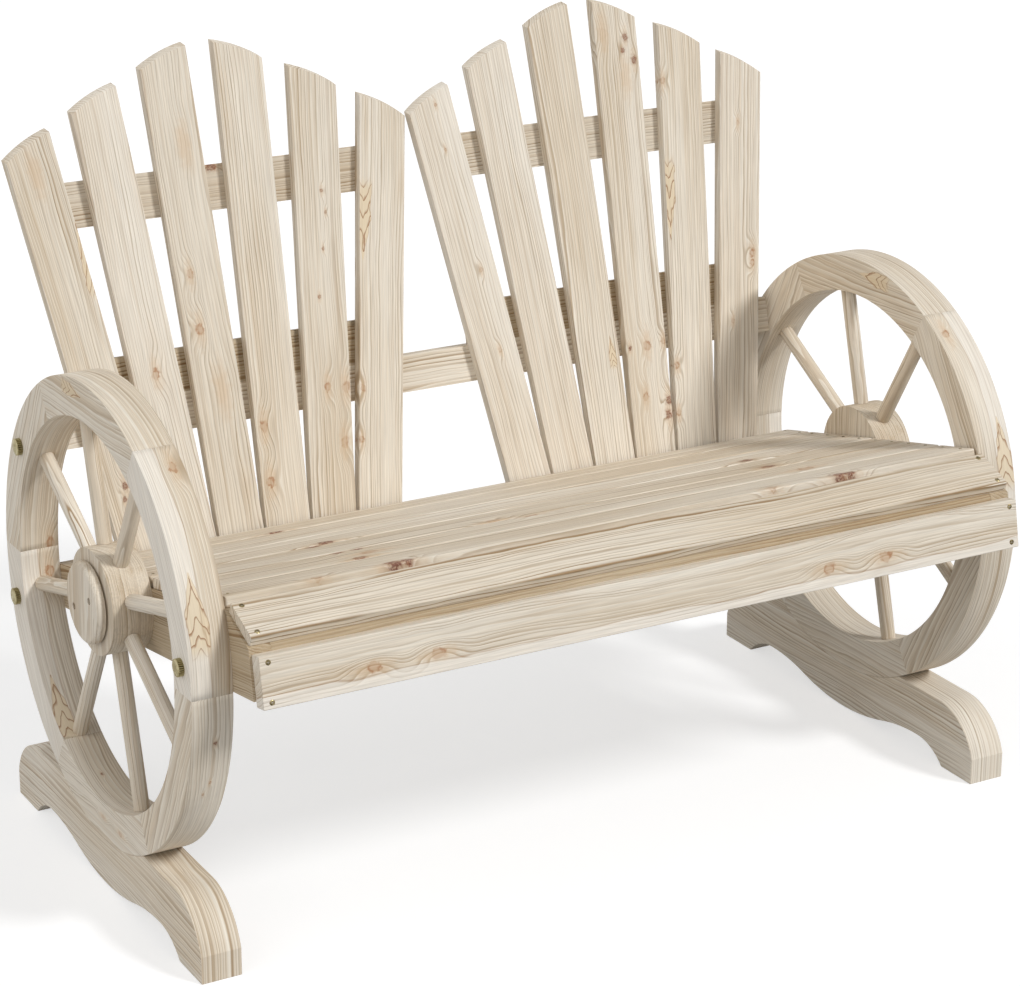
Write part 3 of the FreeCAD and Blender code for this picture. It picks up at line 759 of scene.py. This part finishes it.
slat_count = 6
slat_width = 0.065
slat_seed_step = 2.3
slat_grain = {"ring": 0.0038, "lines": 0.85, "wave": 0.65}
slat_hearts = ((0.010, 0.085, -0.05), (-0.012, -0.10, -0.045), (0.008, 0.12, 0.05), (-0.009, -0.075, -0.06),
               (0.012, 0.10, 0.04))
slat_honey = {"left_slat_1": 0.12, "left_slat_3": 0.15, "left_slat_5": 0.08}
pale_slats = ("left_slat_2", "right_slat_1", "right_slat_2", "right_slat_6")
pale_sap = (1, 1, -slat_width, 0.3)
slat_knots = {
    "left_slat_1": ((0.515, 0.0, 0.008, 0.05), (0.099, 0.002, 0.004, 0.8), (0.083, 0.007, 0.003, 0.8)),
    "left_slat_2": ((0.227, 0.0, 0.006, 0.45),),
    "left_slat_3": ((0.344, 0.0118, 0.005, 0.4), (0.271, 0.0109, 0.006, 0.5), (0.511, -0.0088, 0.008, 0.08),
                    (0.188, -0.0056, 0.009, 0.06)),
    "left_slat_4": ((0.131, 0.0202, 0.006, 0.5), (0.057, 0.0189, 0.006, 0.5)),
    "left_slat_5": ((0.435, -0.0044, 0.0022, 0.7), (0.406, -0.0090, 0.0018, 0.7),
                    (0.358, -0.0028, 0.0020, 0.7), (0.294, 0.0064, 0.0022, 0.7),
                    (0.174, 0.0009, 0.005, 0.55), (0.172, -0.0261, 0.006, 0.35),
                    (0.099, -0.0203, 0.006, 0.35)),
    "left_slat_6": ((0.170, 0.0272, 0.004, 0.4), (0.101, 0.0286, 0.004, 0.4)),
    "right_slat_1": ((0.540, -0.0080, 0.0022, 0.6), (0.478, -0.0048, 0.0020, 0.6),
                     (0.307, -0.0099, 0.003, 0.3), (0.194, -0.0059, 0.003, 0.3)),
    "right_slat_4": ((0.585, -0.0145, 0.004, 0.8), (0.567, -0.0091, 0.003, 0.8),
                     (0.553, -0.0255, 0.0045, 0.8), (0.532, -0.0099, 0.008, 0.08),
                     (0.593, 0.0203, 0.007, 0.2), (0.153, -0.0016, 0.006, 0.55),
                     (0.152, 0.0264, 0.0025, 0.9), (0.156, -0.0284, 0.004, 0.4), (0.082, 0.0083, 0.005, 0.4),
                     (0.072, -0.0285, 0.005, 0.8), (0.052, -0.0262, 0.005, 0.8)),
    "right_slat_5": ((0.522, 0.0301, 0.004, 0.4), (0.120, 0.0279, 0.004, 0.4), (0.053, 0.0283, 0.004, 0.4)),
    "right_slat_6": ((0.463, 0.0044, 0.003, 0.3), (0.278, -0.0219, 0.005, 0.5), (0.264, -0.0220, 0.004, 0.5),
                     (0.180, 0.0098, 0.003, 0.3)),
}
slat_flames = {
    "left_slat_1": ((0.445, -0.0330, -0.110, 0.008),),
    "left_slat_6": ((0.340, 0.0280, 0.115, 0.012),),
    "right_slat_3": ((0.175, -0.0210, -0.050, 0.006),),
    "right_slat_5": ((0.295, 0.0285, 0.125, 0.011),),
}


def slat_angle(number):
    """How far a slat leans from the middle line of its fan."""
    return (number - (slat_count + 1) / 2) * fan_step


dress("cross_beam", board_edge_round, middle_of("cross_beam"), along_bench, back_normal, beam_seed,
      **beam_grain)
for side, sign, first_seed, first_heart in (("left", -1, 24.4, 0), ("right", 1, 25.8, 2)):
    for level, seed_shift, honey in rail_levels:
        name = f"{side}_{level}_rail"
        dress(name, board_edge_round, middle_of(name), along_bench, back_normal, first_seed + seed_shift,
              honey=honey, knots=rail_knots.get(name, ()), **fan_rail_grain)
    pivot = back_base + sign * fan_offset * along_bench - fan_pivot_depth * back_up
    for number in range(1, slat_count + 1):
        name = f"{side}_slat_{number}"
        angle = slat_angle(number)
        along = math.sin(angle) * along_bench + math.cos(angle) * back_up
        dress(name, board_edge_round, pivot + fan_pivot_depth * along, along, back_normal,
              first_seed + slat_seed_step * number,
              heart=slat_hearts[(number + first_heart) % len(slat_hearts)], honey=slat_honey.get(name, 0.0),
              knots=slat_knots.get(name, ()), flames=slat_flames.get(name, ()),
              sap=pale_sap if name in pale_slats else None, **slat_grain)

# Bolts. Brass-plated bolts with broad knurled heads go through each wheel, two into the side rail and one
# into the end of the beam. A washer and a hexagonal nut draw each of the first two up behind the rail.
head_radius = 0.011
head_height = 0.0065
ridge_count = 26
sides_per_ridge = 3
groove_depth_share = 0.84
head_face_radius = 0.0090
head_rim_rise = 0.0006
crown_rise = 0.0002
crown_share = 0.4
shank_radius = 0.004
shank_length = 0.094
shank_sides = 24
nut_radius = 0.0078
nut_height = 0.0062
nut_sides = 6
nut_edge_round = 0.0004
washer_radius = 0.0100
washer_height = 0.0014
washer_sides = 32
side_rail_inner_x = 0.514
rail_bolt_places = ((-0.2558, 0.3989), (0.2839, 0.2983))
beam_bolt_place = (0.2467, 0.5163)
patch_waves = (190.0, 190.0, 190.0)
patch_seed = (3.0, 3.0, 3.0)
scratch_waves = (900.0, 2600.0, 900.0)
scratch_seed = (8.0, 8.0, 8.0)
polished_roughness = 0.34
dulled_roughness = 0.22
scratch_roughness = 0.2


def make_worn_metal():
    """Plated metal that has dulled in patches, with fine scratches."""
    tree, given, result = new_group(
        "worn_metal",
        {"Vector": ("Vector",), "Color": ("Bright", "Dull")},
        {"Color": ("Color",), "Float": ("Roughness", "Height")})
    patches = ease(tree, cloudy(tree, given["Vector"], patch_waves, patch_seed, 3.0), -0.12, 0.18)
    scratches = cloudy(tree, given["Vector"], scratch_waves, scratch_seed, 1.0)
    dullness = times_plus(tree, patches, dulled_roughness, polished_roughness)
    tree.links.new(tint(tree, patches, given["Bright"], given["Dull"]), result["Color"])
    tree.links.new(times_plus(tree, scratches, scratch_roughness, dullness), result["Roughness"])
    tree.links.new(scratches, result["Height"])
    return tree


worn_metal = make_worn_metal()


def metal(name, bright, dull):
    """A worn plated metal, from its bright and its dull colour."""
    material, tree, inputs, place = new_material(name)
    worn = use_group(tree, worn_metal, {"Vector": place, "Bright": bright, "Dull": dull})
    link_looks(tree, inputs, worn, strength=0.15, height=0.0002)
    inputs["Metallic"].default_value = 1.0
    return material


def bolt_mesh():
    """A head with grooves round its side and a low crown, whose back is at the height zero, and a shank."""
    bm = bmesh.new()
    face = disc(bm, sides_per_ridge * ridge_count, head_radius, 0.0)
    for vert in list(face.verts)[::sides_per_ridge]:
        vert.co *= groove_depth_share
    top = raised(bm, face, head_height)
    rim = raised(bm, top, head_rim_rise)
    for vert in rim.verts:
        vert.co.xy *= head_face_radius / vert.co.xy.length
    crown = raised(bm, rim, crown_rise)
    widened(bm, crown, crown_share)
    raised(bm, disc(bm, shank_sides, shank_radius, -shank_length), shank_length)
    return mesh_from(bm, "bolt_pattern")


def nut_mesh():
    """A washer at the height zero with a hexagonal nut on it."""
    bm = bmesh.new()
    raised(bm, disc(bm, washer_sides, washer_radius, 0.0), washer_height)
    raised(bm, disc(bm, nut_sides, nut_radius, washer_height), nut_height)
    ease_sharp_edges(bm, sharp_angle, nut_edge_round, edge_segments)
    return mesh_from(bm, "nut_pattern")


brass = metal("bolt_brass", linear(176, 166, 128), linear(144, 132, 96))
bolt_pattern = bolt_mesh()
nut_pattern = nut_mesh()
for side, sign in (("left", -1), ("right", 1)):
    heads = [((sign * wheel_outer_x, y, z), (sign, 0, 0)) for y, z in rail_bolt_places + (beam_bolt_place,)]
    bolts = set_out(f"{side}_knurled_bolts", bolt_pattern, heads, brass)
    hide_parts(f"{side}_wheel_bolts")
    behind = [((sign * side_rail_inner_x, y, z), (-sign, 0, 0)) for y, z in rail_bolt_places]
    set_out(f"{side}_bolt_nuts", nut_pattern, behind, brass)

# Screws. Small steel screws with cross recesses, plated a dull brass, stand a little proud of the wood. Two
# hold each end of every seat board, and one in each rail holds a slat from behind. Those of the hub caps
# sit in holes, below the face.
screw_radius = 0.0034
screw_proud = 0.0002
screw_sunk = 0.0040
screw_sides = 24
dome_rise = 0.0005
dome_edge = 0.0006
dome_face_rise = dome_rise / 3
dome_face_edge = 0.0008
recess_depth = 0.0012
recess_arm_angle = 16
recess_waist = 0.4
seat_board_thick = 0.014
apron_thick = 0.020
fan_rail_thick = 0.020
end_inset = 0.0110
seat_screw_share = 0.62
seat_screw_spread = 0.019
nose_screw_spread = 0.0225
apron_screw_spread = 0.0235
cap_screw_depth = 0.0064
rail_screw_reach = 0.2145


def screw_mesh():
    """A low domed head with a cross recess, whose rim is at the height zero."""
    bm = bmesh.new()
    top = raised(bm, disc(bm, screw_sides, screw_radius, -screw_sunk), screw_sunk)
    bmesh.ops.inset_region(bm, faces=[top], thickness=dome_edge, depth=dome_rise)
    bmesh.ops.inset_region(bm, faces=[top], thickness=dome_face_edge, depth=dome_face_rise)
    for vert in top.verts:
        turn = math.degrees(math.atan2(vert.co.y, vert.co.x)) % 90
        if min(turn, 90 - turn) >= recess_arm_angle:
            vert.co.xy *= recess_waist
    raised(bm, top, -recess_depth)
    return mesh_from(bm, "screw_pattern")


def board_screws(name, normal, board_thick, half_spread):
    """Places of two screws at each end of a board that runs along the bench."""
    low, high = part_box(name)
    across = normal.cross(along_bench)
    half_length = (high.x - low.x) / 2 - end_inset
    face = middle_of(name) + (board_thick / 2 + screw_proud) * normal
    return [(face + along_bench * end * half_length + across * row * half_spread, normal)
            for end in (-1, 1) for row in (-1, 1)]


dull_brass = metal("screw_brass", linear(160, 147, 112), linear(100, 88, 62))
screw_pattern = screw_mesh()
front_screws = board_screws("nose_board", nose_normal, seat_board_thick, nose_screw_spread)
front_screws += board_screws("apron", front_normal, apron_thick, apron_screw_spread)
set_out("front_screws", screw_pattern, front_screws, dull_brass)
seat_screws = []
for number in range(1, seat_board_count + 1):
    seat_screws += board_screws(f"seat_board_{number}", seat_normal, seat_board_thick, seat_screw_spread)
set_out("seat_screws", screw_pattern, seat_screws, dull_brass, seat_screw_share)
cap_screw_x = wheel_outer_x + cap_standoff + cap_thick - cap_screw_depth
cap_screws = []
slat_screws = []
for side, sign in (("left", -1), ("right", 1)):
    cap_face = Vector((sign * cap_screw_x, wheel_centre_y, hub_centre_z))
    for way in (-1, 1):
        shift = Vector((0, cap_screw_place[1], -sign * cap_screw_place[0]))
        cap_screws.append((cap_face + way * shift, (sign, 0, 0)))
    for level in ("lower", "upper"):
        rail_back = middle_of(f"{side}_{level}_rail") - (fan_rail_thick / 2 + screw_proud) * back_normal
        height = (rail_back - back_base).dot(back_up) + fan_pivot_depth
        for number in range(1, slat_count + 1):
            angle = slat_angle(number)
            shift = math.copysign(min(abs(math.tan(angle) * height), rail_screw_reach), angle)
            slat_screws.append((rail_back + shift * along_bench, -back_normal))
set_out("cap_screws", screw_pattern, cap_screws, dull_brass)
set_out("slat_screws", screw_pattern, slat_screws, dull_brass)

# Studio. A wide pale floor under the bench, a white surround, a key light from the front right, a broad fill
# from the left, a weak one from behind and even light all round. The camera looks down from the front left.
floor_half_width = 12.0
floor_roughness = 0.9
white = (1.0, 1.0, 1.0, 1.0)
ambient_strength = 0.32
camera_lens = 107.7
camera_sensor = 36.0
camera_shift = (0.0162, -0.0589)
camera_place = (-1.8551, -3.2667, 1.7884)
camera_tilt = math.radians(71.20)
camera_turn = math.radians(-29.05)

# The floor's grey where it is seen and where it bounces light, and the glow that it has where it is seen
floor_seen = 0.50
floor_bounce = 0.52
floor_lift = 0.60

# The strength of each light, and its softness, height and azimuth in degrees
lights = {
    "key_light": (2.02, 12, 41, 33),
    "fill_light": (0.96, 60, 30, -70),
    "rear_light": (0.55, 60, 10, 200),
}


def seen_directly(tree):
    """One for rays from the camera, and for those that metal sends on."""
    ray = tree.nodes.new("ShaderNodeLightPath").outputs
    seen = work_out(tree, "MAXIMUM", ray["Is Camera Ray"], ray["Is Glossy Ray"])
    return work_out(tree, "MAXIMUM", seen, ray["Is Transmission Ray"])


bm = bmesh.new()
bmesh.ops.create_grid(bm, x_segments=1, y_segments=1, size=floor_half_width)
floor_mesh = bpy.data.meshes.new("studio_floor")
bm.to_mesh(floor_mesh)
bm.free()
floor = add_object("studio_floor", floor_mesh)
floor_paint = bpy.data.materials.new("floor_paint")
floor_paint.use_nodes = True
paint_tree = floor_paint.node_tree
floor_inputs = paint_tree.nodes["Principled BSDF"].inputs
floor_inputs["Roughness"].default_value = floor_roughness
floor_inputs["Specular IOR Level"].default_value = 0.0
floor_inputs["Emission Color"].default_value = white
seen = seen_directly(paint_tree)
paint = tint(paint_tree, seen, [floor_bounce] * 3 + [1.0], [floor_seen] * 3 + [1.0])
paint_tree.links.new(paint, floor_inputs["Base Color"])
paint_tree.links.new(times(paint_tree, seen, floor_lift), floor_inputs["Emission Strength"])
floor_mesh.materials.append(floor_paint)

world = bpy.data.worlds.new("studio")
bpy.context.scene.world = world
world.use_nodes = True
sky = world.node_tree
backdrop = sky.nodes["Background"]
backdrop.inputs["Color"].default_value = white
backdrop_strength = times_plus(sky, seen_directly(sky), 1.0 - ambient_strength, ambient_strength)
sky.links.new(backdrop_strength, backdrop.inputs["Strength"])

for name, (strength, *angles) in lights.items():
    softness, height, azimuth = [math.radians(angle) for angle in angles]
    light = bpy.data.lights.new(name, "SUN")
    light.energy = strength
    light.angle = softness
    lamp = add_object(name, light)
    lamp.rotation_euler = (math.pi / 2 - height, 0.0, azimuth)

camera_data = bpy.data.cameras.new("photo_camera")
camera_data.lens = camera_lens
camera_data.sensor_width = camera_sensor
camera_data.shift_x, camera_data.shift_y = camera_shift
camera = add_object("photo_camera", camera_data)
camera.location = camera_place
camera.rotation_euler = (camera_tilt, 0.0, camera_turn)
bpy.context.scene.camera = camera
bpy.context.scene.view_settings.view_transform = "Standard"
